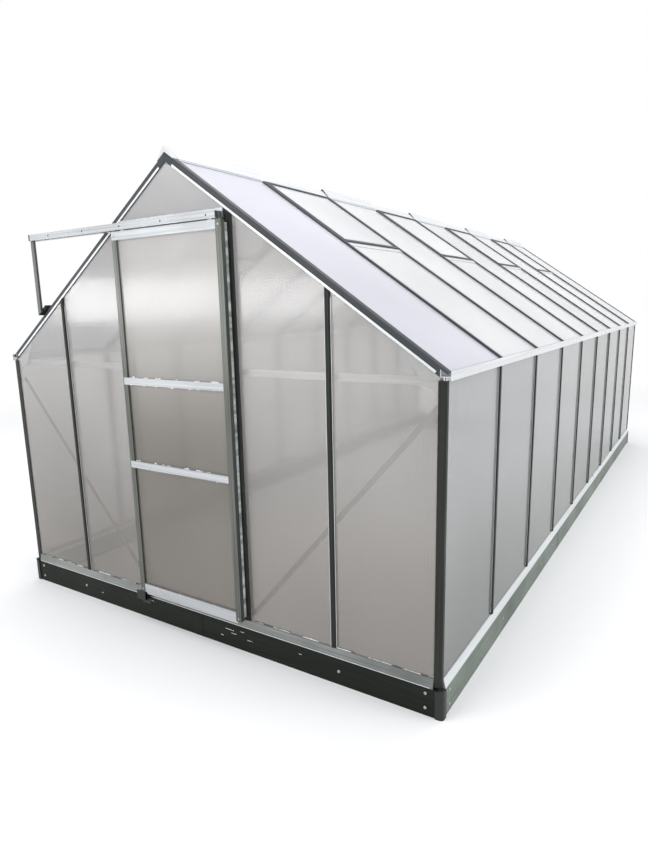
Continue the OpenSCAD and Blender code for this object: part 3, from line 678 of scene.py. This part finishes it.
# %% Film helper
def film_strip(x0, x1, y, z0, z1, ragged, seed, free_edge):
    """A strip of film from x0 to x1. free_edge is 1 where the top is torn, -1 the foot."""
    start_clean()
    count = max(6, int((x1 - x0) / 0.006))
    bpy.ops.mesh.primitive_grid_add(x_subdivisions=count, y_subdivisions=2, size=1,
                                    location=((x0 + x1) / 2, y, (z0 + z1) / 2),
                                    rotation=(math.pi / 2, 0, 0))
    strip = bpy.context.object
    strip.scale = (x1 - x0, z1 - z0, 1)
    bpy.ops.object.transform_apply(location=True, rotation=True, scale=True)
    bpy.ops.object.mode_set(mode="EDIT")
    edge = z1 if free_edge > 0 else z0
    pick(strip, lambda v: abs(v.co.z - edge) < 0.0004, "verts")
    bpy.ops.transform.vertex_random(offset=ragged, uniform=0.0, normal=0.0, seed=seed)
    bpy.ops.mesh.select_all(action="SELECT")
    bpy.ops.transform.resize(value=(1, 0, 1), center_override=(0, y, 0))
    bpy.ops.object.mode_set(mode="OBJECT")
    thick = strip.modifiers.new("film_thickness", "SOLIDIFY")
    thick.thickness = 0.0003
    bpy.ops.object.modifier_apply(modifier=thick.name)
    return strip


def join_as(name, parts):
    start_clean()
    for part in parts:
        part.select_set(True)
    bpy.context.view_layer.objects.active = parts[0]
    bpy.ops.object.join()
    parts[0].name = name
    return parts[0]


# %% Film on the door
pane_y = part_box("door_sheets")[0][1] - 0.0004
rail_low, rail_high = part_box("door_middle_rails")
rail_h = 0.033
pane_x0 = door_low[0] + 0.032
pane_x1 = door_high[0] - 0.032
dice = random.Random(7)
strips = []
for z_mid in (rail_low[2] + rail_h / 2, rail_high[2] - rail_h / 2):
    for free in (-1, 1):
        x = pane_x0
        while x < pane_x1 - 0.03:
            end = min(x + dice.uniform(0.012, 0.05), pane_x1)
            tall = dice.uniform(0.0008, 0.003)
            edge = z_mid + free * rail_h / 2
            lo, hi = sorted((edge, edge + free * tall))
            strips.append(film_strip(x, end, pane_y, lo, hi, 0.0065,
                                     dice.randrange(1000), free))
            x = end + dice.uniform(0.015, 0.11)
fit(join_as("door_film_scraps", strips), "door", film)

# %% Film along the gable panes
strips = []
for x0, x1, z, free in ((-0.72, -0.36, SILL_TOP, 1), (0.36, 0.74, SILL_TOP, 1),
                        (0.80, 1.2, SILL_TOP, 1), (-1.2, -0.86, SILL_TOP, 1)):
    x = x0
    while x < x1 - 0.03:
        end = min(x + dice.uniform(0.04, 0.12), x1)
        tall = dice.uniform(0.0015, 0.004)
        strips.append(film_strip(x, end, FRONT_Y - 0.0006, z, z + tall, 0.0025,
                                 dice.randrange(1000), free))
        x = end + dice.uniform(0.02, 0.09)
fit(join_as("gable_film_scraps", strips), "building", film)

# %% [markdown]
# ## Grime and scrapes
# Rain leaves a dark ragged line of dirt where a sheet meets its sill, and a shovel has
# scraped the front skirt. Both are thin ragged strips like the film.

# %% Grime and scrapes
grime = grained("dried_garden_dirt", "#6b6257", "#4c463d", (90, 90, 90), 0.0, (0.7, 0.9),
                height=0.0006)
strips = []
x = pane_x0
while x < pane_x1 - 0.02:
    end = min(x + dice.uniform(0.05, 0.2), pane_x1)
    strips.append(film_strip(x, end, pane_y, foot_high[2], foot_high[2] + 0.006, 0.003,
                             dice.randrange(1000), 1))
    x = end + dice.uniform(0.0, 0.03)
fit(join_as("door_foot_grime", strips), "door", grime)
strips = []
for x0, x1 in ((-1.22, -0.82), (-0.77, -0.37), (0.37, 0.77), (0.82, 1.22)):
    x = x0
    while x < x1 - 0.02:
        end = min(x + dice.uniform(0.03, 0.12), x1)
        strips.append(film_strip(x, end, FRONT_Y - 0.0003, SILL_TOP,
                                 SILL_TOP + dice.uniform(0.002, 0.007), 0.003,
                                 dice.randrange(1000), 1))
        x = end + dice.uniform(0.01, 0.08)
fit(join_as("sill_grime", strips), "building", grime)
strips = []
for x, z, long in ((0.2, 0.085, 0.05), (0.235, 0.07, 0.03), (0.29, 0.092, 0.022),
                   (0.33, 0.06, 0.03), (-0.3, 0.1, 0.018), (0.62, 0.08, 0.014),
                   (-0.7, 0.05, 0.02), (0.17, 0.045, 0.016)):
    strips.append(film_strip(x, x + long, base_front_y - 0.0003, z, z + 0.0016, 0.0012,
                             dice.randrange(1000), 1))
fit(join_as("skirt_scrapes", strips), "building", film)
